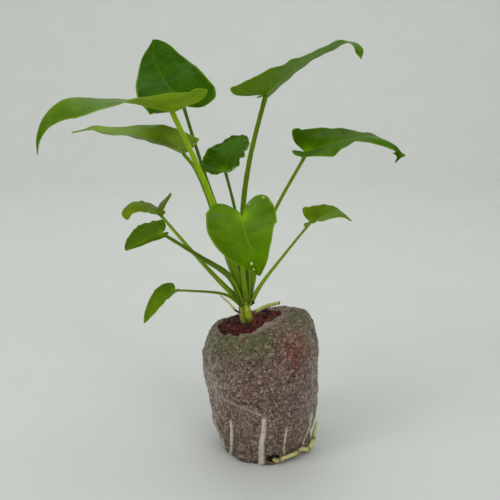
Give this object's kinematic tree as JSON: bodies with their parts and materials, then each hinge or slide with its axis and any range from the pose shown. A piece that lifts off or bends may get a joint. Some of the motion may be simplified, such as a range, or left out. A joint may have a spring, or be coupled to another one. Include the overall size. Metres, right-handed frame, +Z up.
{
  "type": "potted philodendron plant",
  "caption": "Young foliage plant with heart-shaped pointed leaves on slender stalks, rooted in a coir plug wrapped in a thin fleece sleeve; stands on the plug's flat foot.",
  "frame": {"origin": "the middle of the plug's flat base, on the surface it stands on", "axes": "+Z up, out of the pot; +X to the right and +Y away from the viewer in the front view"},
  "size_m": [0.1453, 0.0808, 0.1865],
  "materials": {
    "blade": "waxy green leaf",
    "stalk": "smooth green stalk",
    "stem": "matt green stem",
    "fleece": "thin non-woven fibre over brown coir",
    "coir": "rough damp fibre",
    "old_sheath": "dry papery sheath",
    "root": "pale matt root"
  },
  "bodies": {
    "root": {"fleece_sleeve": "fleece", "coir_substrate": "coir", "stem_main": "stem", "stem_side": "stem", "petiole_top_right": "stalk", "blade_top_right": "blade", "petiole_top_left": "stalk", "blade_top_left": "blade", "petiole_upright_left": "stalk", "blade_upright_left": "blade", "petiole_mid_left": "stalk", "blade_mid_left": "blade", "petiole_centre_small": "stalk", "blade_centre_small": "blade", "petiole_mid_right": "stalk", "blade_mid_right": "blade", "petiole_small_right": "stalk", "blade_small_right": "blade", "petiole_front_heart": "stalk", "blade_front_heart": "blade", "petiole_low_left_upper": "stalk", "blade_low_left_upper": "blade", "petiole_low_left_lower": "stalk", "blade_low_left_lower": "blade", "petiole_lowest_left": "stalk", "blade_lowest_left": "blade", "old_leaf_base": "old_sheath", "pale_strip": "old_sheath", "escaped_root": "root"}
  },
  "joints": []
}
